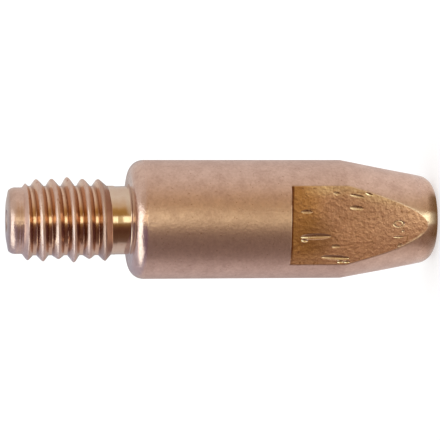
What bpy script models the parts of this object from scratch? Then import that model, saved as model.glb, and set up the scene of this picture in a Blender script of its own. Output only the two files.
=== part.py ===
"""Welding contact tip, turned from one copper rod, in metres.

The tip stands on its flat nose with its thread and wire entry at the top. The origin is the middle of the
nose face, +Z runs up the turning axis, and the two wrench flats face -Y and +Y.
"""

import math

import bmesh
import bpy
from mathutils import Matrix

# Body, with heights measured up from the nose face
TOTAL_LENGTH = 0.0290
BODY_DIAMETER = 0.0080
THREADED_END_LENGTH = 0.00811
SHOULDER_RADIUS = 0.0011
NOSE_TAPER_LENGTH = 0.0065
NOSE_TAPER_ANGLE = math.radians(10.6)
NOSE_RADIUS = 0.00114

# Thread, a metric 60 degree form of which depth and crest are shares of the pitch
THREAD_DIAMETER = 0.0058
THREAD_PITCH = 0.0010
THREAD_DEPTH_PER_PITCH = 0.52
THREAD_CREST_PER_PITCH = 0.16
THREAD_FLANK_ANGLE = math.radians(30)
THREAD_START_TURN = 0.57
THREAD_CHAMFER_ANGLE = math.radians(50)

# Plain pilot above the thread, and the undercut between thread and shoulder
PILOT_LENGTH = 0.00086
PILOT_BELOW_ROOT = 0.00018
PILOT_CHAMFER = 0.00014
UNDERCUT_WIDTH = 0.00126
UNDERCUT_BELOW_ROOT = 0.00013
RELIEF_ANGLE = math.radians(62)

# Wrench flats, one on each side, milled from the nose up
ACROSS_FLATS = 0.0060
FLAT_LENGTH = 0.01024
FLAT_STEP_DRAFT = math.radians(6)

# Wire bore, with a countersink where the wire goes in
BORE_DIAMETER = 0.0010
COUNTERSINK_DIAMETER = 0.0015
COUNTERSINK_ANGLE = math.radians(45)

# How finely round shapes are faceted, and how far cutters reach past what they cut
FACETS = 64
ARC_SEGMENTS = 7
CUTTER_MARGIN = 0.0010
GROOVE_MARGIN = 0.0001
MERGE_DISTANCE = 0.000001
SMOOTH_ANGLE = math.radians(20)

COPPER = (0.72, 0.46, 0.35, 1.0)
COPPER_ROUGHNESS = 0.32

BODY_RADIUS = BODY_DIAMETER / 2
THREAD_RADIUS = THREAD_DIAMETER / 2
ROOT_RADIUS = THREAD_RADIUS - THREAD_DEPTH_PER_PITCH * THREAD_PITCH
PILOT_RADIUS = ROOT_RADIUS - PILOT_BELOW_ROOT
UNDERCUT_RADIUS = ROOT_RADIUS - UNDERCUT_BELOW_ROOT
BORE_RADIUS = BORE_DIAMETER / 2
SHOULDER_Z = TOTAL_LENGTH - THREADED_END_LENGTH
UNDERCUT_TOP_Z = SHOULDER_Z + UNDERCUT_WIDTH
PILOT_Z = TOTAL_LENGTH - PILOT_LENGTH


def clear_scene():
    for obj in list(bpy.data.objects):
        bpy.data.objects.remove(obj, do_unlink=True)


def new_collection(name):
    collection = bpy.data.collections.new(name)
    bpy.context.scene.collection.children.link(collection)
    return collection


def copper_material():
    material = bpy.data.materials.new("copper")
    material.use_nodes = True
    shader = material.node_tree.nodes["Principled BSDF"]
    shader.inputs["Base Color"].default_value = COPPER
    shader.inputs["Metallic"].default_value = 1.0
    shader.inputs["Roughness"].default_value = COPPER_ROUGHNESS
    return material


def arc(centre_r, centre_z, radius, start, end):
    """Points (r, z) on an arc, with its angles measured from the outward direction, upwards."""
    points = []
    for step in range(ARC_SEGMENTS + 1):
        angle = start + (end - start) * step / ARC_SEGMENTS
        points.append((centre_r + radius * math.cos(angle), centre_z + radius * math.sin(angle)))
    return points


def thread_blank_outline():
    """The end face, the pilot, the cylinder that the thread is cut in, and the undercut."""
    chamfer = (THREAD_RADIUS - PILOT_RADIUS) * math.tan(THREAD_CHAMFER_ANGLE)
    relief = (THREAD_RADIUS - UNDERCUT_RADIUS) / math.tan(RELIEF_ANGLE)
    return [
        (PILOT_RADIUS - PILOT_CHAMFER, TOTAL_LENGTH),
        (PILOT_RADIUS, TOTAL_LENGTH - PILOT_CHAMFER),
        (PILOT_RADIUS, PILOT_Z),
        (THREAD_RADIUS, PILOT_Z - chamfer),
        (THREAD_RADIUS, UNDERCUT_TOP_Z + relief),
        (UNDERCUT_RADIUS, UNDERCUT_TOP_Z),
        (UNDERCUT_RADIUS, SHOULDER_Z),
    ]


def shoulder_outline():
    """The rounded rim of the shoulder, from its flat face down to the body."""
    return arc(BODY_RADIUS - SHOULDER_RADIUS, SHOULDER_Z - SHOULDER_RADIUS, SHOULDER_RADIUS, math.pi / 2, 0)


def nose_outline():
    """The taper and the rounded rim of the nose, from the body down to the flat face."""
    taper_r = BODY_RADIUS - math.tan(NOSE_TAPER_ANGLE) * (NOSE_TAPER_LENGTH - NOSE_RADIUS)
    centre_r = taper_r - NOSE_RADIUS / math.cos(NOSE_TAPER_ANGLE)
    rim = arc(centre_r, NOSE_RADIUS, NOSE_RADIUS, -NOSE_TAPER_ANGLE, -math.pi / 2)
    return [(BODY_RADIUS, NOSE_TAPER_LENGTH), *rim]


def bore_outline():
    """The bore and its countersink, from the nose up to the wire entry."""
    mouth_radius = COUNTERSINK_DIAMETER / 2
    depth = (mouth_radius - BORE_RADIUS) / math.tan(COUNTERSINK_ANGLE)
    return [(BORE_RADIUS, 0), (BORE_RADIUS, TOTAL_LENGTH - depth), (mouth_radius, TOTAL_LENGTH)]


def turned_blank(collection):
    """The rod as it leaves the lathe, bored through: a closed profile turned about Z."""
    outline = [*thread_blank_outline(), *shoulder_outline(), *nose_outline(), *bore_outline()]
    bm = bmesh.new()
    corners = [bm.verts.new((r, 0, z)) for r, z in outline]
    for first, second in zip(corners, corners[1:] + corners[:1]):
        bm.edges.new((first, second))
    blank = mesh_object("contact_tip", bm, collection)
    turn = blank.modifiers.new("turn", "SCREW")
    turn.axis = "Z"
    turn.angle = math.tau
    turn.steps = FACETS
    turn.render_steps = FACETS
    turn.use_merge_vertices = True
    turn.merge_threshold = MERGE_DISTANCE
    return blank


def thread_groove(collection):
    """The V-shaped cut of the threading tool: a right-hand helix that rises from the undercut to the pilot."""
    depth = THREAD_RADIUS - ROOT_RADIUS
    opening = THREAD_PITCH * (1 - THREAD_CREST_PER_PITCH)
    root_half = opening / 2 - depth * math.tan(THREAD_FLANK_ANGLE)
    mouth_half = opening / 2 + GROOVE_MARGIN * math.tan(THREAD_FLANK_ANGLE)
    start_z = UNDERCUT_TOP_Z - root_half
    rise = PILOT_Z + root_half - start_z
    steps = math.ceil(rise / THREAD_PITCH * FACETS)

    bm = bmesh.new()
    section = [
        (ROOT_RADIUS, start_z - root_half),
        (THREAD_RADIUS + GROOVE_MARGIN, start_z - mouth_half),
        (THREAD_RADIUS + GROOVE_MARGIN, start_z + mouth_half),
        (ROOT_RADIUS, start_z + root_half),
    ]
    face = bm.faces.new([bm.verts.new((r, 0, z)) for r, z in section])
    turn_to_start = Matrix.Rotation(math.tau * THREAD_START_TURN, 3, "Z")
    bmesh.ops.rotate(bm, cent=(0, 0, 0), matrix=turn_to_start, verts=bm.verts)
    bmesh.ops.spin(
        bm,
        geom=[face, *face.edges, *face.verts],
        cent=(0, 0, 0),
        axis=(0, 0, 1),
        dvec=(0, 0, THREAD_PITCH / FACETS),
        angle=math.tau * steps / FACETS,
        steps=steps,
    )
    bmesh.ops.recalc_face_normals(bm, faces=bm.faces)
    return as_cutter(mesh_object("thread_groove", bm, collection))


def flat_cutter(name, side, collection):
    """A block that removes all of the nose end beyond one wrench flat, up to a step with a little draft."""
    width = BODY_DIAMETER + 2 * CUTTER_MARGIN
    depth = (width - ACROSS_FLATS) / 2
    height = FLAT_LENGTH + CUTTER_MARGIN
    bm = bmesh.new()
    bmesh.ops.create_cube(bm, size=1)
    bmesh.ops.scale(bm, vec=(width, depth, height), verts=bm.verts)
    centre = (0, side * (ACROSS_FLATS + depth) / 2, FLAT_LENGTH - height / 2)
    bmesh.ops.translate(bm, vec=centre, verts=bm.verts)
    outer_top = [vert for vert in bm.verts if vert.co.z > 0 and side * vert.co.y > side * centre[1]]
    bmesh.ops.translate(bm, vec=(0, 0, depth * math.tan(FLAT_STEP_DRAFT)), verts=outer_top)
    return as_cutter(mesh_object(name, bm, collection))


def mesh_object(name, bm, collection):
    mesh = bpy.data.meshes.new(name)
    bm.to_mesh(mesh)
    bm.free()
    obj = bpy.data.objects.new(name, mesh)
    collection.objects.link(obj)
    return obj


def as_cutter(obj):
    obj.hide_render = True
    obj.display_type = "WIRE"
    return obj


def cut(obj, cutter):
    boolean = obj.modifiers.new("cut " + cutter.name, "BOOLEAN")
    boolean.operation = "DIFFERENCE"
    boolean.solver = "EXACT"
    boolean.object = cutter


def keep_finished_mesh(obj):
    """Replaces the profile and its modifiers by the finished mesh, smooth except at real edges."""
    graph = bpy.context.evaluated_depsgraph_get()
    mesh = bpy.data.meshes.new_from_object(obj.evaluated_get(graph))
    obj.modifiers.clear()
    obj.data = mesh
    mesh.name = obj.name
    mesh.shade_smooth()
    mesh.set_sharp_from_angle(angle=SMOOTH_ANGLE)


def main():
    clear_scene()
    parts = new_collection("welding_contact_tip")
    cutters = new_collection("cutters")
    tip = turned_blank(parts)
    cut(tip, thread_groove(cutters))
    cut(tip, flat_cutter("flat_front_cutter", -1, cutters))
    cut(tip, flat_cutter("flat_back_cutter", 1, cutters))
    keep_finished_mesh(tip)
    tip.data.materials.clear()
    tip.data.materials.append(copper_material())


main()
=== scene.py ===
"""A turned copper contact tip, standing on its nose, seen with its thread to the left of the picture."""

import math

import bmesh
import bpy
from mathutils import Matrix, Vector, noise

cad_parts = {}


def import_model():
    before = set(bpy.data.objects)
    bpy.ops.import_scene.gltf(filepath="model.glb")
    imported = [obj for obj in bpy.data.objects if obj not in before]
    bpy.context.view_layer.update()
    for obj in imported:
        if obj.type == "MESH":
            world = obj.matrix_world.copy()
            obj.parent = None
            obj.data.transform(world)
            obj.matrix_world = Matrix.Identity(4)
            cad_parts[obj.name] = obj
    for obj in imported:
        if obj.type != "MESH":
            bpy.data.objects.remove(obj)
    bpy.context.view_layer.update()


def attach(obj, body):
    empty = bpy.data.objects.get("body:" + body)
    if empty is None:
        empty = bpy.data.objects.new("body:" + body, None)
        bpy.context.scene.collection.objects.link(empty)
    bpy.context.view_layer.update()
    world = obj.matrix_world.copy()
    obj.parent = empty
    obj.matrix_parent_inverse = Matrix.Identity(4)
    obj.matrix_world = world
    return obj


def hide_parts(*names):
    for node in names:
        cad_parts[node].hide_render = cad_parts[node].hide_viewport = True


# Sizes in metres, with heights measured up from the nose face
LENGTH = 0.0290

# Body and tapered nose
BODY_R = 0.0040
SHOULDER_Z = 0.02081
SHOULDER_ROUNDING = 0.00098
TAPER_TOP_Z = 0.0064
TAPER_ANGLE = math.radians(10.6)
TAPER_SLOPE = math.tan(TAPER_ANGLE)
NOSE_ROUNDING = 0.00114
NOSE_CENTRE_R = BODY_R - TAPER_SLOPE * (TAPER_TOP_Z - NOSE_ROUNDING) - NOSE_ROUNDING / math.cos(TAPER_ANGLE)

# How far the two ends are turned off the body's axis, towards +X, and where each is fully off it
THREAD_OFF_CENTRE = -0.00006
THREAD_SHIFT = (SHOULDER_Z + 0.00002, SHOULDER_Z + 0.00014)
NOSE_OFF_CENTRE = -0.00003
NOSE_SHIFT = (TAPER_TOP_Z, 0.003)

# Undercut beside the shoulder
UNDERCUT_R = 0.00230
UNDERCUT_TOP_Z = SHOULDER_Z + 0.00092
UNDERCUT_FILLET = 0.0001

# Thread: the crests lean along the axis, and the valleys are skewed, differently at the two sides
THREAD_BLANK_R = 0.00292
THREAD_ROOT_R = 0.00233
THREAD_ROOT_HALF = 0.00011
THREAD_PITCH = 0.0010375
THREAD_END_Z = 0.02188
THREAD_LEAN = 0.00006
CREST_BLUNTNESS = 0.00008
CREST_SOFTNESS = 0.00004
ROOT_SOFTNESS = 0.00002
VALLEY_SKEW_TOWARDS_X = 0.00006
VALLEY_SKEW_AWAY_FROM_X = -0.000042

# How far each crest stands out at its start and half a turn on, from the undercut up
CREST_RADII = (
    (0.00230, 0.00271),
    (0.00276, 0.00259),
    (0.00281, 0.00281),
    (0.00290, 0.00259),
    (0.00280, 0.00271),
    (0.00277, 0.00264),
    (0.00272, 0.00270),
)
# Fine unevenness of the crests: its depth, and how fast it changes round the tip and from turn to turn
CREST_WEAR = 0.00004
CREST_WEAR_ROUND = 1.9
CREST_WEAR_PER_TURN = 3.7

# The turn beside the undercut, in turns: where its crest rises, and where the flank under it fades out
LAST_CREST_RISE = (0.2, 0.42)
LAST_FLANK_FADE = (1.45, 1.15)
LAST_FLANK_LEDGE = 0.00005

# Chamfer, plain pilot with its turning waves, rounded lead, shallow cone and flat end face
CHAMFER_LENGTH = 0.00052
PILOT_R = 0.00223
PILOT_Z = LENGTH - 0.00102
TURNING_WAVE = 0.000008
TURNING_WAVES = 2
PILOT_LEAD = 0.00046
PILOT_LEAD_POWER = 2.5
PILOT_END_R = 0.00206
END_FACE_R = 0.00145
END_FACE_DROP = 0.00012
END_FACE_RIM_Z = LENGTH - END_FACE_DROP

# Wire bore
BORE_R = 0.0005
BORE_EDGE = 0.00006
COUNTERSINK_R = 0.00075

# Wrench flats, and the blocks that cut them
FLAT_Y = 0.00296
FLAT_TOP_Z = 0.01024
FLAT_STEP_DRAFT = math.radians(6)
FLAT_EDGE_ROUNDING = 0.00005
CUTTER_WIDTH = 0.010
CUTTER_DEPTH = 0.002
CUTTER_MARGIN = 0.001

# Dents pressed into the front flat, in millimetres: centre x and z, length, width, depth, turn in degrees
DENTS = (
    (-0.76, 8.53, 2.10, 0.46, 0.100, -1),
    (-1.02, 9.30, 0.48, 0.28, 0.050, 10),
    (-2.18, 7.19, 1.95, 0.36, 0.075, 3),
    (-2.46, 6.84, 0.46, 0.26, 0.040, 0),
    (-2.48, 6.39, 0.42, 0.22, 0.035, 0),
    (-1.42, 7.15, 0.62, 0.28, 0.026, 3),
    (1.96, 5.78, 1.05, 0.28, 0.034, 12),
    (2.08, 4.97, 0.54, 0.26, 0.034, 20),
    (1.16, 5.80, 1.00, 0.36, 0.036, 6),
    (2.14, 7.17, 0.56, 0.28, 0.018, 10),
    (0.92, 9.18, 0.85, 0.30, 0.026, 2),
    (-1.36, 2.80, 0.40, 0.30, 0.018, -25),
)
# The short ones of them that shine the most, and how far round its middle each does
NICKS = (DENTS[1], DENTS[3], DENTS[4], DENTS[7])
NICK_REACH = 0.00030
# The punch's thickness as a share of a dent's width, and the facets of the punch
PUNCH_THICKNESS = 0.4
PUNCH_FACETS = (20, 14)

# The wire size, punched in plain strokes: a one, a point and a nought, with the middle of each
FIGURE_HEIGHT = 0.00070
FIGURE_Z = 0.00290
STROKE_WIDTH = 0.00020
STROKE_DEPTH = 0.00003
ONE_X = -0.00080
ONE_HEIGHT = FIGURE_HEIGHT * 1.1
POINT_X = -0.00040
POINT_Z = FIGURE_Z - FIGURE_HEIGHT * 0.42
NOUGHT_X = 0.00008
NOUGHT_WIDTH = FIGURE_HEIGHT * 0.6
NOUGHT_HEIGHT = FIGURE_HEIGHT * 0.9
NOUGHT_FACETS = (32, 10)

# How finely the blank is meshed: facets round it, and the height of its rows and the gap beside an edge
SEGMENTS = 200
THREAD_ROW = 0.000025
CHAMFER_ROW = THREAD_ROW * 1.3
BODY_ROW = 0.001
FLAT_ROW = 0.0002
ROW_GAP = 0.00001
TAPER_FOOT_Z = 0.0012
TAPER_EDGE = 0.000003
LEAD_STEPS = 10
WAVE_STEPS = 24
FILLET_STEPS = 4
ROUNDING_STEPS = 14

# How faces and edges are told apart
SHARP_RIM = math.radians(9)
SHARP_EDGE = math.radians(40)
SKIN_DEPTH = 0.00004
FLAT_SKIN_DEPTH = 0.00006
FLAT_TOLERANCE = 0.000002
FLAT_FINISH_DEPTH = 0.000003
UNDERCUT_SKIN = 0.000015
SHOULDER_TOLERANCE = 0.000001
MERGE_DISTANCE = 0.0000005
LEVEL_Y = 0.999
SIDEWAYS_Y = 0.1
STEP_DOWN = -0.95
STEP_EDGE_DOWN = -0.9
NEAR_STEP_Z = 0.009
LAST_GROOVE_Z = 0.0227


def mix(a, b, share):
    return a + (b - a) * share


def smooth_step(low, high, value):
    """0 at low and 1 at high, with soft ends; low may be the larger of the two."""
    share = min(1.0, max(0.0, (value - low) / (high - low)))
    return share * share * (3 - 2 * share)


def soft_min(a, b, width):
    """The lower of two heights, with the corner where they cross rounded over."""
    blend = max(width - abs(a - b), 0.0) / width
    return min(a, b) - blend * blend * width / 4


# The turned blank


def arc(centre_r, centre_z, radius, start, end, steps):
    """Points (r, z) on an arc, with its angles in degrees from the outward direction, upwards."""
    points = []
    for step in range(steps + 1):
        angle = math.radians(mix(start, end, step / steps))
        points.append((centre_r + radius * math.cos(angle), centre_z + radius * math.sin(angle)))
    return points


def rows(r_top, z_top, r_bottom, z_bottom, row):
    """Points down a straight run of the outline, a row apart, which later cuts can shape."""
    count = max(1, math.ceil(math.hypot(r_top - r_bottom, z_top - z_bottom) / row))
    return [(mix(r_top, r_bottom, k / count), mix(z_top, z_bottom, k / count)) for k in range(count + 1)]


def pilot_outline():
    """The flat end face, the cone round it, the rounded lead and the pilot with its turning waves."""
    points = [(COUNTERSINK_R, LENGTH), (END_FACE_R, LENGTH), (PILOT_END_R - ROW_GAP, END_FACE_RIM_Z)]
    for step in range(LEAD_STEPS + 1):
        down = step / LEAD_STEPS
        bulge = 1 - (1 - down) ** PILOT_LEAD_POWER
        points.append((mix(PILOT_END_R, PILOT_R, bulge), END_FACE_RIM_Z - ROW_GAP - PILOT_LEAD * down))
    top_z = END_FACE_RIM_Z - PILOT_LEAD - 3 * ROW_GAP
    for step in range(WAVE_STEPS + 1):
        down = step / WAVE_STEPS
        wave = (math.cos(TURNING_WAVES * math.tau * down) - 1) / 2
        points.append((PILOT_R + TURNING_WAVE * wave, mix(top_z, PILOT_Z + 4 * ROW_GAP, down)))
    return points


def thread_blank_outline():
    """The chamfer, the cylinder that the thread is cut in, and the undercut."""
    chamfer_z = PILOT_Z - CHAMFER_LENGTH
    points = rows(PILOT_R, PILOT_Z, THREAD_BLANK_R, chamfer_z, CHAMFER_ROW)
    points += rows(THREAD_BLANK_R, chamfer_z, THREAD_BLANK_R, UNDERCUT_TOP_Z + THREAD_ROW, THREAD_ROW)[1:]
    points += [(UNDERCUT_R, UNDERCUT_TOP_Z)]
    fillet_middle = (UNDERCUT_R + UNDERCUT_FILLET, SHOULDER_Z + UNDERCUT_FILLET)
    return points + arc(*fillet_middle, UNDERCUT_FILLET, 180, 270, FILLET_STEPS)


def turned_radius(z):
    """The radius of the turned body at a height, before the flats are cut."""
    if z < NOSE_ROUNDING * (1 - math.sin(TAPER_ANGLE)):
        return NOSE_CENTRE_R + math.sqrt(max(0.0, NOSE_ROUNDING**2 - (NOSE_ROUNDING - z) ** 2))
    return BODY_R - TAPER_SLOPE * max(0.0, TAPER_TOP_Z - z)


def body_outline():
    """The rounded shoulder, the body with closer rows where the flats cut it, the taper and the nose."""
    shoulder_foot_z = SHOULDER_Z - SHOULDER_ROUNDING
    points = arc(BODY_R - SHOULDER_ROUNDING, shoulder_foot_z, SHOULDER_ROUNDING, 90, 0, ROUNDING_STEPS)
    points += rows(BODY_R, shoulder_foot_z - BODY_ROW, BODY_R, FLAT_TOP_Z + FLAT_ROW, BODY_ROW)
    points += rows(BODY_R, FLAT_TOP_Z + 8 * ROW_GAP, BODY_R, TAPER_TOP_Z + 10 * ROW_GAP, FLAT_ROW)
    points += rows(BODY_R - TAPER_EDGE, TAPER_TOP_Z, turned_radius(TAPER_FOOT_Z), TAPER_FOOT_Z, FLAT_ROW)
    return points + arc(
        NOSE_CENTRE_R, NOSE_ROUNDING, NOSE_ROUNDING, -math.degrees(TAPER_ANGLE), -90, ROUNDING_STEPS
    )


def bore_outline():
    countersink_depth = COUNTERSINK_R - BORE_R
    return [(BORE_R + BORE_EDGE, 0), (BORE_R, BORE_EDGE), (BORE_R, LENGTH - countersink_depth)]


def spin_round(bm, geometry, axis, steps):
    bmesh.ops.spin(bm, geom=geometry, cent=(0, 0, 0), axis=axis, angle=math.tau, steps=steps, use_merge=True)


def spin_outline(bm, outline, steps, closed):
    corners = [bm.verts.new((r, 0, z)) for r, z in outline]
    following = corners[1:] + corners[:1] if closed else corners[1:]
    edges = [bm.edges.new(pair) for pair in zip(corners, following)]
    spin_round(bm, corners + edges, (0, 0, 1), steps)


def turn_blank(bm):
    """Spins the outline about the axis, and turns it by half a facet, so that facets look along X and Y."""
    outline = pilot_outline() + thread_blank_outline() + body_outline() + bore_outline()
    spin_outline(bm, outline, SEGMENTS, closed=True)
    half_facet = Matrix.Rotation(math.pi / SEGMENTS, 3, "Z")
    bmesh.ops.rotate(bm, cent=(0, 0, 0), matrix=half_facet, verts=bm.verts)
    bmesh.ops.recalc_face_normals(bm, faces=bm.faces)


# The thread


def crest_radius(angle, turn):
    """How far a crest stands out, uneven as a worn die leaves it."""
    last = len(CREST_RADII) - 1
    start, half_way = CREST_RADII[min(turn, last)]
    following = CREST_RADII[min(turn + 1, last)][0]
    if angle < math.pi:
        radius = mix(start, half_way, smooth_step(0, math.pi, angle))
    else:
        radius = mix(half_way, following, smooth_step(math.pi, math.tau, angle))
    round_tip = (math.cos(angle) * CREST_WEAR_ROUND, math.sin(angle) * CREST_WEAR_ROUND)
    along = (turn + angle / math.tau) * CREST_WEAR_PER_TURN
    return radius + CREST_WEAR * noise.noise(Vector((*round_tip, along)))


def thread_radius(angle, z):
    """The radius of the right-hand thread's surface: blunt crests, and flanks down to a narrow root."""
    turned = angle / math.tau
    towards_x = (1 + math.cos(angle)) / 2
    turns = (z + THREAD_LEAN * towards_x - THREAD_END_Z) / THREAD_PITCH - turned
    turn = max(0, round(turns))
    from_crest = (turns - turn) * THREAD_PITCH
    skew = mix(VALLEY_SKEW_AWAY_FROM_X, VALLEY_SKEW_TOWARDS_X, towards_x)
    from_crest += skew * math.sin(math.pi * from_crest / THREAD_PITCH) ** 2
    crest = crest_radius(angle, turn)
    if turn == 0:
        crest = mix(UNDERCUT_R, crest, smooth_step(*LAST_CREST_RISE, turned))
    slope = (crest - THREAD_ROOT_R) / (THREAD_PITCH / 2 - THREAD_ROOT_HALF - CREST_BLUNTNESS)
    flank = crest - slope * (math.hypot(from_crest, CREST_BLUNTNESS) - CREST_BLUNTNESS)
    root_r = THREAD_ROOT_R
    if from_crest < 0:
        fade = smooth_step(*LAST_FLANK_FADE, turn + turned)
        flank = mix(flank, crest + LAST_FLANK_LEDGE + from_crest, fade)
        root_r = mix(THREAD_ROOT_R, UNDERCUT_R, fade)
    return -soft_min(-min(flank, crest), -root_r, ROOT_SOFTNESS)


def cut_thread(bm):
    """Draws the blank in to the thread's surface, where it stands out of it."""
    for vert in bm.verts:
        x, y, z = vert.co
        if UNDERCUT_TOP_Z < z < PILOT_Z - ROW_GAP:
            radius = math.hypot(x, y)
            angle = math.atan2(y, x) % math.tau
            new_radius = soft_min(radius, thread_radius(angle, z), CREST_SOFTNESS)
            vert.co.x, vert.co.y = x * new_radius / radius, y * new_radius / radius


def shift_ends(bm):
    """The threaded end and the nose were turned in a second chucking, a hair off the body's axis."""
    for vert in bm.verts:
        height = vert.co.z
        vert.co.x += THREAD_OFF_CENTRE * smooth_step(*THREAD_SHIFT, height)
        vert.co.x += NOSE_OFF_CENTRE * smooth_step(*NOSE_SHIFT, height)


# The flats and their marks


def mesh_object(name, bm):
    mesh = bpy.data.meshes.new(name)
    bm.to_mesh(mesh)
    bm.free()
    obj = bpy.data.objects.new(name, mesh)
    bpy.context.scene.collection.objects.link(obj)
    return obj


def flat_cutter(side):
    """A block that takes off all beyond one flat, up to a step with a little draft."""
    bm = bmesh.new()
    bmesh.ops.create_cube(bm, size=1)
    bmesh.ops.scale(bm, vec=(CUTTER_WIDTH, CUTTER_DEPTH, FLAT_TOP_Z + CUTTER_MARGIN), verts=bm.verts)
    middle_y = side * (FLAT_Y + CUTTER_DEPTH / 2)
    bmesh.ops.translate(bm, vec=(0, middle_y, (FLAT_TOP_Z - CUTTER_MARGIN) / 2), verts=bm.verts)
    outer_top = [vert for vert in bm.verts if vert.co.z > 0 and side * vert.co.y > side * middle_y]
    bmesh.ops.translate(bm, vec=(0, 0, CUTTER_DEPTH * math.tan(FLAT_STEP_DRAFT)), verts=outer_top)
    return mesh_object("flat_cutter", bm)


def press_dent(bm, x, z, length, width, depth, turn=0.0):
    """An egg-shaped punch, sunk into the front flat by depth."""
    half_thick = width * PUNCH_THICKNESS
    place = Matrix.Translation((x, -FLAT_Y - half_thick + depth, z)) @ Matrix.Rotation(turn, 4, "Y")
    reach = math.sqrt(1 - (1 - depth / half_thick) ** 2)
    size = Matrix.Diagonal((width / 2 / reach, half_thick, length / 2 / reach, 1))
    around, along = PUNCH_FACETS
    bmesh.ops.create_uvsphere(bm, u_segments=around, v_segments=along, radius=1, matrix=place @ size)


def press_ring(bm, x, z, width, height):
    """A round figure: a thin ring of wire, pressed in by a stroke's depth."""
    wire_r = STROKE_WIDTH / 2
    around_ring, around_wire = NOUGHT_FACETS
    wire = bmesh.ops.create_circle(bm, segments=around_wire, radius=wire_r)["verts"]
    bmesh.ops.translate(bm, vec=(width / 2, 0, 0), verts=wire)
    edges = list({edge for vert in wire for edge in vert.link_edges})
    spin_round(bm, wire + edges, (0, 1, 0), around_ring)
    bmesh.ops.scale(bm, vec=(1, 1, height / width), verts=bm.verts)
    bmesh.ops.translate(bm, vec=(x, -FLAT_Y - wire_r + STROKE_DEPTH, z), verts=bm.verts)


def cutter(name, bm):
    bmesh.ops.recalc_face_normals(bm, faces=bm.faces)
    return mesh_object(name, bm)


def dents_cutter(dents):
    bm = bmesh.new()
    for *sizes, turn in dents:
        press_dent(bm, *[size / 1000 for size in sizes], math.radians(turn))
    return cutter("dents_cutter", bm)


def strokes_cutter():
    """The one and the point of the wire size."""
    bm = bmesh.new()
    press_dent(bm, ONE_X, FIGURE_Z, ONE_HEIGHT, STROKE_WIDTH, STROKE_DEPTH)
    press_dent(bm, POINT_X, POINT_Z, STROKE_WIDTH, STROKE_WIDTH, STROKE_DEPTH)
    return cutter("strokes_cutter", bm)


def ring_cutter():
    """The nought of the wire size."""
    bm = bmesh.new()
    press_ring(bm, NOUGHT_X, FIGURE_Z, NOUGHT_WIDTH, NOUGHT_HEIGHT)
    return cutter("ring_cutter", bm)


def subtract(obj, tool):
    boolean = obj.modifiers.new("cut", "BOOLEAN")
    boolean.operation = "DIFFERENCE"
    boolean.solver = "EXACT"
    boolean.object = tool
    graph = bpy.context.evaluated_depsgraph_get()
    mesh = bpy.data.meshes.new_from_object(obj.evaluated_get(graph))
    obj.modifiers.clear()
    obj.data = mesh
    bpy.data.objects.remove(tool, do_unlink=True)


def in_flat_plane(face):
    off_plane = abs(abs(face.calc_center_median().y) - FLAT_Y)
    return abs(face.normal.y) > LEVEL_Y and off_plane < FLAT_TOLERANCE


def on_step(face):
    return face.normal.z < STEP_DOWN and face.calc_center_median().z > NEAR_STEP_Z


def on_skin(place):
    x, y, z = place
    return math.hypot(x, y) > turned_radius(z) - SKIN_DEPTH


def is_rim(edge):
    """True for the outward edges where a flat meets the turned skin, and all round its step."""
    if len(edge.link_faces) != 2 or edge.calc_face_angle_signed(0) < SHARP_RIM:
        return False
    first, second = edge.link_faces
    if on_step(first) or on_step(second):
        return True
    return all(on_skin(vert.co) for vert in edge.verts) and in_flat_plane(first) != in_flat_plane(second)


def round_flat_edges(obj):
    """Breaks the sharp rims of the flats with a small rounding, as tumbling does."""
    bm = bmesh.new()
    bm.from_mesh(obj.data)
    bmesh.ops.remove_doubles(bm, verts=bm.verts, dist=MERGE_DISTANCE)
    bmesh.ops.bevel(
        bm,
        geom=[edge for edge in bm.edges if is_rim(edge)],
        offset=FLAT_EDGE_ROUNDING,
        offset_type="OFFSET",
        segments=3,
        profile=0.5,
        affect="EDGES",
        material=-1,
        clamp_overlap=False,
    )
    bm.to_mesh(obj.data)
    bm.free()


def keep_flats_level(obj):
    """Keeps the flats level in the shading, right up to their rims and to the rim of each dent."""
    bm = bmesh.new()
    bm.from_mesh(obj.data)
    for edge in bm.edges:
        if len({in_flat_plane(face) for face in edge.link_faces}) == 2:
            edge.smooth = False
    bm.to_mesh(obj.data)
    bm.free()


# Nodes of the materials


def new_material(name):
    material = bpy.data.materials.new(name)
    material.use_nodes = True
    return material


def add_node(tree, kind, values=None, **settings):
    """Adds a node with its settings, and puts a number, a colour or another node's socket on its inputs."""
    node = tree.nodes.new(kind)
    for name, value in settings.items():
        setattr(node, name, value)
    for name, value in (values or {}).items():
        if isinstance(value, bpy.types.NodeSocket):
            tree.links.new(value, node.inputs[name])
        else:
            node.inputs[name].default_value = value
    return node


def calculate(tree, operation, *values):
    return add_node(tree, "ShaderNodeMath", dict(enumerate(values)), operation=operation).outputs[0]


def product(tree, first, second):
    return calculate(tree, "MULTIPLY", first, second)


def blend_colours(tree, share, first, second, blend="MIX"):
    values = {0: share, 6: first, 7: second}
    return add_node(tree, "ShaderNodeMix", values, data_type="RGBA", blend_type=blend).outputs[2]


def spread(tree, value, low, high, to_low=0.0, to_high=1.0, smooth=False):
    """Carries the range from low to high over to another one, and stops at its ends."""
    kind = "SMOOTHSTEP" if smooth else "LINEAR"
    values = {"Value": value, "From Min": low, "From Max": high, "To Min": to_low, "To Max": to_high}
    return add_node(tree, "ShaderNodeMapRange", values, interpolation_type=kind).outputs[0]


def fade_in(tree, value, start, full, strength=1.0, smooth=True):
    """0 as far as start, and strength from full on; start may be the larger of the two."""
    return spread(tree, value, start, full, 0.0, strength, smooth=smooth)


def place_on_metal(tree):
    """The place on the part in metres: as one socket, and as its x, y and z."""
    place = add_node(tree, "ShaderNodeTexCoord").outputs["Object"]
    return place, *add_node(tree, "ShaderNodeSeparateXYZ", {0: place}).outputs


def from_axis(tree, x, y):
    return calculate(tree, "SQRT", calculate(tree, "ADD", product(tree, x, x), product(tree, y, y)))


# The copper finishes: first what all of them share, then the colours of single areas

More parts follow.
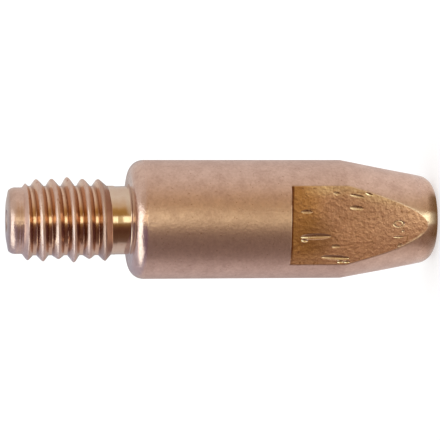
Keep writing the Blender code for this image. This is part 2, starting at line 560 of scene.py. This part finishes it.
GRAIN_NOISE = {"Detail": 3.0, "Roughness": 0.6}
BLOTCH_NOISE = {"Detail": 4.0, "Roughness": 0.62}
SPECK_NOISE = {"Detail": 1.5, "Roughness": 0.5}
LINE_NOISE = {"Detail": 2.0, "Roughness": 0.7}
# Scales against the grain's, shares of grain and blotches in the mottling, and ranges of the noises used
BLOTCH_SCALE = 0.21
SPECK_SCALE = 1.25
GRAIN_SHARE = 0.45
MOTTLE_RANGE = (0.36, 0.64)
SPECK_RANGE = (0.66, 0.74)
# Distance between turning lines, and how roughness follows the mottling and the dulling of an area
LINE_SPACING = 0.00012
ROUGHER_WHERE_DARK = 0.04
SMOOTHER_WHERE_LIGHT = 0.03
DULL_ROUGHNESS = 0.20

# Areas of other colour: where along a line each starts, where it is full, how strong it is, and its colour
# Painted shade: the flat turns gold-dark beside the step, standing in for the wall's shadow and the copper
# light it throws back
STEP_SHADE_GOLD = (0.0074, 0.0093, 0.72, (0.50, 0.23, 0.065))
# Painted shade: a darker patch round the long dent, centred on the place given next
DENT_SHADE = (0.0019, 0.0006, 0.55, (0.30, 0.135, 0.055))
DENT_SHADE_PLACE = (-0.0008, -FLAT_Y, 0.0085)
# Painted shade: a dark line in the crevice at the foot of the step
CREVICE_SHADE = (FLAT_TOP_Z - 0.00024, FLAT_TOP_Z - 0.00010, 0.9, (0.16, 0.045, 0.02))
PALE_BY_NOSE = (0.0056, 0.0036, 0.6, (0.62, 0.325, 0.23))
PALE_BELOW = (-0.0015, -0.0026, 0.6, (0.66, 0.37, 0.26))
LAST_GROOVE = (0.02305, 0.02275, 0.55, (0.36, 0.20, 0.13))

# Areas with more than one bound: where each bound starts, where it is full, and its strength if below 1.
# The burnished ones, the painted shade on the lead and the darker end face go by height, and the burnishing
# eases off from 1 to 0.45 at the pilot
BURNISHED_ABOVE = (SHOULDER_Z - SHOULDER_ROUNDING, SHOULDER_Z - SHOULDER_ROUNDING * 0.75)
BURNISHED_BELOW = (0.0018, 0.0011, 0.75)
PILOT_LESS_BURNISHED = (0.0262, 0.0272, 1.0, 0.45)
BURNISH_GLOSS = 0.9
# Painted shade over the rounded lead; the end face is darker, in the same colour
SHADED_LEAD = (END_FACE_RIM_Z - PILOT_LEAD, END_FACE_RIM_Z, 0.30)
DARKER_END_FACE = (END_FACE_RIM_Z - 0.00006, END_FACE_RIM_Z + 0.00002, 0.50)
LEAD_SHADE_AND_END_COLOUR = (0.29, 0.19, 0.155)
# The thread's go by the distance from a crest in turns, apart from the run-out beside the undercut
RUBBED_CREST = (0.19, 0.10)
PALE_RUN_OUT = (0.02275, 0.02245, 0.5)
CREST_DULLNESS = 1.5
GROOVE_COLOUR = (0.66, 0.42, 0.29)
# Painted shade in each groove, by the share of a turn above a crest: where it comes in, where it goes out,
# and its colour
GROOVE_SHADE_BELOW = (0.22, 0.33, 0.80)
GROOVE_SHADE_ABOVE = (0.47, 0.39)
GROOVE_SHADE_COLOUR = (0.34, 0.15, 0.075)
# The flat's go by x, by height, and by the distance in from its rim
# Painted highlights along the flat's rim at +X, and in a thin line along its rim beside the nose
TOP_RIM_HIGHLIGHT = ((0.0010, 0.0020, 0.9), (0.0096, 0.0080), (0.00060, 0.00010), (0.80, 0.52, 0.32))
TIP_RIM_HIGHLIGHT = ((-0.0003, -0.0007), (0.0032, 0.0022, 0.7), (0.000062, 0.000022), (0.96, 0.72, 0.56))
# Painted shade: the flat is darker towards +X near the nose
UPPER_SHADE_SIDE = (-0.0006, 0.0014, 0.5)
UPPER_SHADE_UP = (0.0085, 0.0066)
UPPER_SHADE_COLOUR = (0.38, 0.185, 0.125)


def stain(tree, colour, along, area):
    """Lays an area of another colour over the metal, by the value that says how far along a place is."""
    start, full, strength, stain_colour = area
    return blend_colours(tree, fade_in(tree, along, start, full, strength), colour, (*stain_colour, 1))


def metal_group():
    """Mottling, dark specks and the fine lines of turning, all fixed to the metal."""
    group = bpy.data.node_groups.new("copper_surface", "ShaderNodeTree")
    for name in ("Grain Size", "Line Spacing"):
        group.interface.new_socket(name, in_out="INPUT", socket_type="NodeSocketFloat")
    for name in ("Mottle", "Specks", "Grain", "Lines"):
        group.interface.new_socket(name, in_out="OUTPUT", socket_type="NodeSocketFloat")
    into = group.nodes.new("NodeGroupInput")
    out = group.nodes.new("NodeGroupOutput")
    place, x, y, z = place_on_metal(group)

    def noise_at(where, scale, settings):
        values = {"Vector": where, "Scale": scale, **settings}
        return add_node(group, "ShaderNodeTexNoise", values).outputs[0]

    grain_scale = calculate(group, "DIVIDE", 1.0, into.outputs["Grain Size"])
    grain = noise_at(place, grain_scale, GRAIN_NOISE)
    blotches = noise_at(place, product(group, grain_scale, BLOTCH_SCALE), BLOTCH_NOISE)
    specks = noise_at(place, product(group, grain_scale, SPECK_SCALE), SPECK_NOISE)
    shares = product(group, grain, GRAIN_SHARE), product(group, blotches, 1 - GRAIN_SHARE)
    mottle = calculate(group, "ADD", *shares)
    along = add_node(group, "ShaderNodeCombineXYZ", {0: from_axis(group, x, y), 1: 0.0, 2: z}).outputs[0]
    lines = noise_at(along, calculate(group, "DIVIDE", 1.0, into.outputs["Line Spacing"]), LINE_NOISE)
    group.links.new(spread(group, mottle, *MOTTLE_RANGE), out.inputs["Mottle"])
    group.links.new(spread(group, specks, *SPECK_RANGE), out.inputs["Specks"])
    group.links.new(grain, out.inputs["Grain"])
    group.links.new(lines, out.inputs["Lines"])
    return group


def copper(
    name,
    group,
    light,
    dark,
    speck,
    roughness,
    grain_bump,
    line_bump=0.0,
    metal=1.0,
    grain_size=0.0004,
    tint=None,
):
    """A copper finish: two shades mottled together, dark specks, and bumps of grain and turning lines."""
    material = new_material(name)
    tree = material.node_tree
    shader = tree.nodes["Principled BSDF"]
    surface = add_node(tree, "ShaderNodeGroup", node_tree=group)
    surface.inputs["Grain Size"].default_value = grain_size
    surface.inputs["Line Spacing"].default_value = LINE_SPACING
    mottle = surface.outputs["Mottle"]
    colour = blend_colours(tree, mottle, (*dark, 1), (*light, 1))
    rough = spread(tree, mottle, 0.0, 1.0, roughness + ROUGHER_WHERE_DARK, roughness - SMOOTHER_WHERE_LIGHT)
    if tint:
        colour, dull = tint(tree, colour)
        if dull:
            rough = calculate(tree, "ADD", rough, product(tree, dull, DULL_ROUGHNESS))
    colour = blend_colours(tree, surface.outputs["Specks"], colour, (*speck, 1))
    grain = {"Strength": 1.0, "Distance": grain_bump, "Height": surface.outputs["Grain"]}
    normal = add_node(tree, "ShaderNodeBump", grain).outputs[0]
    lines = {"Strength": 1.0, "Distance": line_bump, "Height": surface.outputs["Lines"], "Normal": normal}
    normal = add_node(tree, "ShaderNodeBump", lines).outputs[0]
    tree.links.new(colour, shader.inputs["Base Color"])
    tree.links.new(rough, shader.inputs["Roughness"])
    tree.links.new(normal, shader.inputs["Normal"])
    shader.inputs["Metallic"].default_value = metal
    return material


def burnish(tree, colour):
    """The shoulder's rounding, the pilot and the nose's rim are smoother than the body between them; the
    lead carries a painted shade, and the end face is darker.
    """
    up = place_on_metal(tree)[3]
    above = fade_in(tree, up, *BURNISHED_ABOVE)
    above = product(tree, above, spread(tree, up, *PILOT_LESS_BURNISHED))
    below = fade_in(tree, up, *BURNISHED_BELOW)
    # Painted shade on the lead, and a darker end face
    lead = fade_in(tree, up, *SHADED_LEAD, smooth=False)
    end_face = fade_in(tree, up, *DARKER_END_FACE)
    colour = blend_colours(tree, calculate(tree, "MAXIMUM", lead, end_face), colour, (*LEAD_SHADE_AND_END_COLOUR, 1))
    return colour, product(tree, calculate(tree, "MAXIMUM", above, below), -BURNISH_GLOSS)


def thread_tint(tree, colour):
    """The crests are rubbed pale and matt; flanks and roots keep the red of fresh copper, and a painted
    shade darkens each groove from about a quarter to half a turn above its crest.
    """
    x, y, up = place_on_metal(tree)[1:]
    x = calculate(tree, "SUBTRACT", x, THREAD_OFF_CENTRE)
    lean = spread(tree, calculate(tree, "DIVIDE", x, from_axis(tree, x, y)), -1.0, 1.0, 0.0, THREAD_LEAN)
    height = calculate(tree, "SUBTRACT", calculate(tree, "ADD", up, lean), THREAD_END_Z)
    turned = calculate(tree, "DIVIDE", calculate(tree, "ARCTAN2", y, x), math.tau)
    turns = calculate(tree, "SUBTRACT", calculate(tree, "DIVIDE", height, THREAD_PITCH), turned)
    rubbed = fade_in(tree, calculate(tree, "PINGPONG", turns, 0.5), *RUBBED_CREST)
    pale = calculate(tree, "MAXIMUM", rubbed, fade_in(tree, up, *PALE_RUN_OUT))
    colour = blend_colours(tree, pale, (*GROOVE_COLOUR, 1), colour)
    colour = stain(tree, colour, up, LAST_GROOVE)
    # Painted shade in each groove above the crest
    above_crest = calculate(tree, "FRACT", turns)
    groove_shade = product(tree, fade_in(tree, above_crest, *GROOVE_SHADE_BELOW), fade_in(tree, above_crest, *GROOVE_SHADE_ABOVE))
    return blend_colours(tree, groove_shade, colour, (*GROOVE_SHADE_COLOUR, 1)), product(tree, pale, CREST_DULLNESS)


def flat_tint(tree, colour):
    """Painted shade: golden beside the step, a dark patch round the long dent, a dark line in the step's
    crevice, and darker towards +X near the nose; paler towards the nose and towards -X; painted highlights
    along the rims.
    """
    place, side, y, up = place_on_metal(tree)
    from_dent = add_node(tree, "ShaderNodeVectorMath", {0: place, 1: DENT_SHADE_PLACE}, operation="DISTANCE")
    # Painted shade: gold-dark beside the step
    colour = stain(tree, colour, up, STEP_SHADE_GOLD)
    # Painted shade round the long dent
    colour = stain(tree, colour, from_dent.outputs["Value"], DENT_SHADE)
    # Painted shade in the step's crevice
    colour = stain(tree, colour, up, CREVICE_SHADE)
    colour = stain(tree, colour, up, PALE_BY_NOSE)
    colour = stain(tree, colour, side, PALE_BELOW)
    # Painted highlights along the rims, broadly at +X and in a thin line beside the nose
    taper_r = calculate(tree, "ADD", product(tree, up, TAPER_SLOPE), BODY_R - TAPER_SLOPE * TAPER_TOP_Z)
    skin_r = calculate(tree, "MINIMUM", taper_r, BODY_R)
    from_rim = calculate(tree, "SUBTRACT", skin_r, from_axis(tree, side, y))
    for side_bound, up_bound, width, highlight_colour in (TOP_RIM_HIGHLIGHT, TIP_RIM_HIGHLIGHT):
        in_side = fade_in(tree, side, *side_bound, smooth=False)
        in_height = fade_in(tree, up, *up_bound, smooth=False)
        rim = product(tree, product(tree, in_side, in_height), fade_in(tree, from_rim, *width))
        colour = blend_colours(tree, rim, colour, (*highlight_colour, 1))
    # Painted shade towards +X near the nose
    upper_shade = product(tree, fade_in(tree, side, *UPPER_SHADE_SIDE), fade_in(tree, up, *UPPER_SHADE_UP))
    return blend_colours(tree, upper_shade, colour, (*UPPER_SHADE_COLOUR, 1)), None


# The finishes in the order of the tip's material slots
SATIN, CUT, POLISHED, PRESSED, FRESH, DARK_BORE, DULLED = range(7)


def copper_finishes():
    group = metal_group()
    satin = copper(
        "satin_copper",
        group,
        light=(0.68, 0.455, 0.36),
        dark=(0.53, 0.335, 0.26),
        speck=(0.46, 0.27, 0.20),
        roughness=0.38,
        grain_bump=0.000019,
        line_bump=0.0000012,
        metal=0.88,
        grain_size=0.00018,
        tint=burnish,
    )
    cut = copper(
        "cut_copper",
        group,
        light=(0.70, 0.50, 0.41),
        dark=(0.62, 0.41, 0.32),
        speck=(0.45, 0.22, 0.12),
        roughness=0.17,
        grain_bump=0.000004,
        line_bump=0.000001,
        tint=thread_tint,
    )
    polished = copper(
        "polished_copper",
        group,
        light=(0.68, 0.51, 0.38),
        dark=(0.64, 0.45, 0.33),
        speck=(0.60, 0.40, 0.28),
        roughness=0.12,
        grain_bump=0.000002,
        line_bump=0.0000003,
    )
    pressed = copper(
        "pressed_copper",
        group,
        light=(0.74, 0.395, 0.27),
        dark=(0.50, 0.245, 0.15),
        speck=(0.40, 0.19, 0.10),
        roughness=0.40,
        grain_bump=0.000045,
        grain_size=0.00030,
        tint=flat_tint,
    )
    fresh = copper(
        "fresh_copper",
        group,
        light=(0.76, 0.58, 0.44),
        dark=(0.70, 0.52, 0.38),
        speck=(0.60, 0.40, 0.28),
        roughness=0.16,
        grain_bump=0.000003,
    )
    # A darker, rougher copper for the inside of the bore
    dark_bore = copper(
        "dark_bore_copper",
        group,
        light=(0.42, 0.30, 0.25),
        dark=(0.34, 0.23, 0.19),
        speck=(0.20, 0.12, 0.10),
        roughness=0.45,
        grain_bump=0.000004,
    )
    dulled = copper(
        "dulled_copper",
        group,
        light=(0.64, 0.43, 0.31),
        dark=(0.56, 0.36, 0.25),
        speck=(0.50, 0.30, 0.20),
        roughness=0.27,
        grain_bump=0.000003,
    )
    return satin, cut, polished, pressed, fresh, dark_bore, dulled


def threaded_end_finish(radius, z):
    """Satin on the chamfer and all above it, and cut in the thread down to the polished undercut."""
    if z > PILOT_Z - CHAMFER_LENGTH:
        cone_r = mix(THREAD_BLANK_R, PILOT_R, (z - PILOT_Z + CHAMFER_LENGTH) / CHAMFER_LENGTH)
        return SATIN if z > PILOT_Z or radius > cone_r - SKIN_DEPTH else CUT
    return CUT if z > LAST_GROOVE_Z or radius > UNDERCUT_R + UNDERCUT_SKIN else POLISHED


def face_finish(face):
    """Which finish a face has, from where it is and which way it looks."""
    x, y, z = face.center
    radius = math.hypot(x, y)
    if radius < COUNTERSINK_R + ROW_GAP:
        return DARK_BORE
    if z > SHOULDER_Z + SHOULDER_TOLERANCE:
        return threaded_end_finish(math.hypot(x - THREAD_OFF_CENTRE, y), z)
    if z > NEAR_STEP_Z and face.normal.z < STEP_EDGE_DOWN:
        return PRESSED
    if z >= FLAT_TOP_Z or radius >= turned_radius(z) - FLAT_SKIN_DEPTH or abs(face.normal.y) <= SIDEWAYS_Y:
        return SATIN
    if abs(y) > FLAT_Y - FLAT_FINISH_DEPTH:
        return PRESSED
    in_nick = any(math.dist((x, z), (nick[0] / 1000, nick[1] / 1000)) < NICK_REACH for nick in NICKS)
    return FRESH if in_nick else DULLED


def make_tip():
    bm = bmesh.new()
    turn_blank(bm)
    cut_thread(bm)
    shift_ends(bm)
    tip = mesh_object("turned_tip", bm)
    for side in (-1, 1):
        subtract(tip, flat_cutter(side))
    round_flat_edges(tip)
    # Dents that overlap are pressed one after the other
    for tool in (dents_cutter(DENTS[0::2]), dents_cutter(DENTS[1::2]), strokes_cutter(), ring_cutter()):
        subtract(tip, tool)
    tip.data.materials.clear()
    for material in copper_finishes():
        tip.data.materials.append(material)
    for face in tip.data.polygons:
        face.material_index = face_finish(face)
    tip.data.shade_smooth()
    tip.data.set_sharp_from_angle(angle=SHARP_EDGE)
    keep_flats_level(tip)
    even = tip.modifiers.new("even_normals", "WEIGHTED_NORMAL")
    even.keep_sharp = True
    return tip


# The camera, aimed from the side of the front flat, with the tip's axis across the picture

TILT = math.radians(8.6)
TURN = math.radians(8.4)
ROLL = 0.0029
CAMERA_DISTANCE = 0.2015
LENS = 244.3
SENSOR_WIDTH = 36
CLIP_START = 0.01
CLIP_END = 20
AIM = Vector((-0.000054, 0, 0.01459))


def make_camera():
    back = Vector((math.cos(TILT) * math.sin(TURN), -math.cos(TILT) * math.cos(TURN), math.sin(TILT)))
    up = Vector((math.cos(TURN), math.sin(TURN), 0))
    right = up.cross(back)
    rolled_right = right * math.cos(ROLL) - up * math.sin(ROLL)
    rolled_up = up * math.cos(ROLL) + right * math.sin(ROLL)
    turned = Matrix((rolled_right, rolled_up, back)).transposed().to_4x4()
    camera = bpy.data.objects.new("camera", bpy.data.cameras.new("camera"))
    camera.data.lens = LENS
    camera.data.sensor_width = SENSOR_WIDTH
    camera.data.clip_start = CLIP_START
    camera.data.clip_end = CLIP_END
    camera.matrix_world = Matrix.Translation(AIM + back * CAMERA_DISTANCE) @ turned
    bpy.context.scene.collection.objects.link(camera)
    bpy.context.scene.camera = camera


# The light tent: a dome round the part, which only the metal sees, in its reflections

TENT_R = 0.045
TENT_Z = 0.015
TENT_FOOT_Z = 0.0001
TENT_FOOT_RADII = (0.0023, 0.010)
TENT_ROWS = 24
TENT_FACETS = 96

# Its colours by the direction round the part in degrees, where 0 is beside the camera and positive angles
# turn to the top of the picture. The lamp is the narrow bright stretch round 0
TENT_PEAK = 3.0
TENT_TOP = (
    (-180, (0.56, 0.60, 0.72)),
    (-95, (0.54, 0.58, 0.80)),
    (-70, (0.22, 0.15, 0.30)),
    (-15, (0.20, 0.13, 0.23)),
    (-7, (0.55, 0.42, 0.30)),
    (-4, (1.80, 1.78, 1.35)),
    (9, (1.80, 1.78, 1.35)),
    (14, (0.60, 0.46, 0.28)),
    (35, (0.70, 0.62, 0.50)),
    (70, (0.86, 0.86, 0.84)),
    (180, (0.80, 0.80, 0.80)),
)
TENT_SIDE = (
    (-180, (0.36, 0.33, 0.32)),
    (-140, (0.66, 0.64, 0.67)),
    (-120, (0.76, 0.74, 0.79)),
    (-100, (0.70, 0.67, 0.71)),
    (-88, (0.60, 0.55, 0.57)),
    (-78, (0.22, 0.15, 0.13)),
    (-60, (0.16, 0.09, 0.06)),
    (-37, (0.12, 0.055, 0.033)),
    (-24, (0.16, 0.08, 0.045)),
    (-13, (0.32, 0.19, 0.07)),
    (-9, (0.50, 0.36, 0.18)),
    (-6, (2.05, 2.15, 1.65)),
    (10, (2.05, 2.15, 1.65)),
    (14, (0.48, 0.31, 0.11)),
    (27, (0.46, 0.29, 0.09)),
    (37, (0.56, 0.37, 0.15)),
    (46, (0.74, 0.60, 0.42)),
    (60, (0.80, 0.72, 0.62)),
    (74, (0.86, 0.83, 0.79)),
    (90, (0.88, 0.88, 0.88)),
    (140, (0.80, 0.80, 0.81)),
    (180, (0.36, 0.33, 0.32)),
)
TENT_SKIRT = (
    (-180, (0.75, 0.75, 0.77)),
    (-120, (0.88, 0.88, 0.90)),
    (-90, (0.94, 0.94, 0.94)),
    (-66, (0.84, 0.79, 0.75)),
    (-48, (0.34, 0.25, 0.19)),
    (-24, (0.30, 0.20, 0.12)),
    (-10, (0.60, 0.50, 0.36)),
    (-6, (2.4, 2.9, 2.3)),
    (7, (2.4, 2.9, 2.3)),
    (12, (0.66, 0.52, 0.30)),
    (36, (0.84, 0.75, 0.58)),
    (56, (0.99, 0.97, 0.93)),
    (90, (1.04, 1.05, 1.05)),
    (180, (0.75, 0.75, 0.77)),
)
TENT_FOOT = (
    (-180, (0.70, 0.68, 0.66)),
    (-60, (0.70, 0.68, 0.66)),
    (-26, (0.19, 0.12, 0.045)),
    (36, (0.22, 0.145, 0.05)),
    (52, (0.90, 0.84, 0.76)),
    (180, (0.84, 0.82, 0.80)),
)
# Heights in degrees between which the side gives way to the top, the skirt and the foot, and the lamp dims
TOP_STARTS = (9, 20)
SKIRT_STARTS = (-24, -44)
FOOT_STARTS = (-74, -82)
LAMP_DIMS = (-3.5, -5)
# The sides of the lamp in radians, and its colour where it is dim against where it is bright
LAMP_LEFT = (-0.16, -0.10)
LAMP_RIGHT = (0.24, 0.18)
LAMP_DIMNESS = (0.44, 0.37, 0.29)
# A softbox high up at the thread's end, as a leaning square of directions: its lean, middles, half widths,
# rim, lowest height and light
SOFTBOX_LEAN = 0.40
SOFTBOX_MIDDLES = (0.36, -0.29)
SOFTBOX_HALF_WIDTHS = (0.29, 0.55)
SOFTBOX_RIM = (1.08, 0.92)
SOFTBOX_LOWEST = 0.3
SOFTBOX_LIGHT = (2.3, 2.75, 2.95)


def tent_colour(colour):
    """A colour as a share of the tent's brightest light, which a ramp can hold."""
    return (*[channel / TENT_PEAK for channel in colour], 1)


def colour_ramp(tree, share, stops):
    ramp = tree.nodes.new("ShaderNodeValToRGB")
    elements = ramp.color_ramp.elements
    for index, (degrees, colour) in enumerate(stops):
        position = (degrees + 180) / 360
        if index < 2:
            elements[index].position = position
        else:
            elements.new(position)
        elements[index].color = tent_colour(colour)
    tree.links.new(share, ramp.inputs["Fac"])
    return ramp.outputs["Color"]


def height_band(tree, height, start, full, smooth=True):
    """0 as far as one height of the tent in degrees, and 1 from another one on."""
    heights = [math.sin(math.radians(degrees)) for degrees in (start, full)]
    return fade_in(tree, height, *heights, smooth=smooth)


def softbox_share(tree, to_camera, to_top, height):
    leaning = calculate(tree, "SUBTRACT", to_camera, product(tree, to_top, SOFTBOX_LEAN))
    off_middle = []
    for way, middle, half_width in zip((leaning, to_top), SOFTBOX_MIDDLES, SOFTBOX_HALF_WIDTHS):
        from_middle = calculate(tree, "DIVIDE", calculate(tree, "SUBTRACT", way, middle), half_width)
        off_middle.append(calculate(tree, "ABSOLUTE", from_middle))
    inside = fade_in(tree, calculate(tree, "MAXIMUM", *off_middle), *SOFTBOX_RIM)
    return product(tree, inside, calculate(tree, "GREATER_THAN", height, SOFTBOX_LOWEST))


def tent_material():
    material = new_material("tent_fabric")
    tree = material.node_tree
    tree.nodes.clear()
    place = add_node(tree, "ShaderNodeTexCoord").outputs["Object"]
    turned = {"Vector": place, "Location": (0, 0, -TENT_Z), "Rotation": (0, 0, -TURN)}
    from_middle = add_node(tree, "ShaderNodeMapping", turned).outputs[0]
    way = add_node(tree, "ShaderNodeVectorMath", {0: from_middle}, operation="NORMALIZE").outputs[0]
    to_top, away, height = add_node(tree, "ShaderNodeSeparateXYZ", {0: way}).outputs
    to_camera = product(tree, away, -1.0)
    around = calculate(tree, "ARCTAN2", to_top, to_camera)
    share = spread(tree, around, -math.pi, math.pi)
    lamp_edges = [fade_in(tree, around, *edge, smooth=False) for edge in (LAMP_LEFT, LAMP_RIGHT)]
    dim = product(tree, height_band(tree, height, *LAMP_DIMS, smooth=False), product(tree, *lamp_edges))
    colour = colour_ramp(tree, share, TENT_SIDE)
    colour = blend_colours(tree, dim, colour, (*LAMP_DIMNESS, 1), blend="MULTIPLY")
    for starts, stops in ((SKIRT_STARTS, TENT_SKIRT), (FOOT_STARTS, TENT_FOOT), (TOP_STARTS, TENT_TOP)):
        band = height_band(tree, height, *starts)
        colour = blend_colours(tree, band, colour, colour_ramp(tree, share, stops))
    softbox = softbox_share(tree, to_camera, to_top, height)
    colour = blend_colours(tree, softbox, colour, tent_colour(SOFTBOX_LIGHT))
    glow = add_node(tree, "ShaderNodeEmission", {"Color": colour, "Strength": TENT_PEAK})
    add_node(tree, "ShaderNodeOutputMaterial", {"Surface": glow.outputs[0]})
    return material


def make_tent():
    bm = bmesh.new()
    start = math.degrees(math.asin((TENT_FOOT_Z - TENT_Z) / TENT_R))
    outline = [(r, TENT_FOOT_Z) for r in TENT_FOOT_RADII] + arc(0, TENT_Z, TENT_R, start, 90, TENT_ROWS)
    spin_outline(bm, outline, TENT_FACETS, closed=False)
    tent = mesh_object("light_tent", bm)
    tent.data.materials.append(tent_material())
    for ray in ("camera", "diffuse", "transmission", "shadow", "volume_scatter"):
        setattr(tent, "visible_" + ray, False)
    return tent


# The floor and the plain light

FLOOR_HALF_WIDTH = 4
FLOOR_GREY = 0.55
FLOOR_GLOW = 0.55


def floor_material():
    """White to the camera and in reflections, and matt enough to keep the shadow of the part."""
    material = new_material("white_floor")
    tree = material.node_tree
    tree.nodes.clear()
    rays = add_node(tree, "ShaderNodeLightPath").outputs
    seen = calculate(tree, "MAXIMUM", rays["Is Camera Ray"], rays["Is Glossy Ray"])
    seen = calculate(tree, "MAXIMUM", seen, rays["Is Transmission Ray"])
    glow = add_node(tree, "ShaderNodeEmission", {"Strength": product(tree, seen, FLOOR_GLOW)})
    matt = add_node(tree, "ShaderNodeBsdfDiffuse", {"Color": (FLOOR_GREY, FLOOR_GREY, FLOOR_GREY, 1)})
    both = add_node(tree, "ShaderNodeAddShader", {0: matt.outputs[0], 1: glow.outputs[0]})
    add_node(tree, "ShaderNodeOutputMaterial", {"Surface": both.outputs[0]})
    return material


def make_floor():
    bm = bmesh.new()
    bmesh.ops.create_grid(bm, x_segments=2, y_segments=2, size=FLOOR_HALF_WIDTH)
    floor = mesh_object("floor", bm)
    floor.data.materials.append(floor_material())
    return floor


def make_light():
    world = bpy.data.worlds.new("studio")
    bpy.context.scene.world = world
    world.use_nodes = True
    background = world.node_tree.nodes["Background"]
    background.inputs["Color"].default_value = (1, 1, 1, 1)
    background.inputs["Strength"].default_value = 1


def main():
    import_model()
    bpy.context.scene.view_settings.view_transform = "Standard"
    tip = make_tip()
    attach(tip, "root")
    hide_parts("contact_tip")
    make_floor()
    make_tent()
    make_light()
    make_camera()


main()
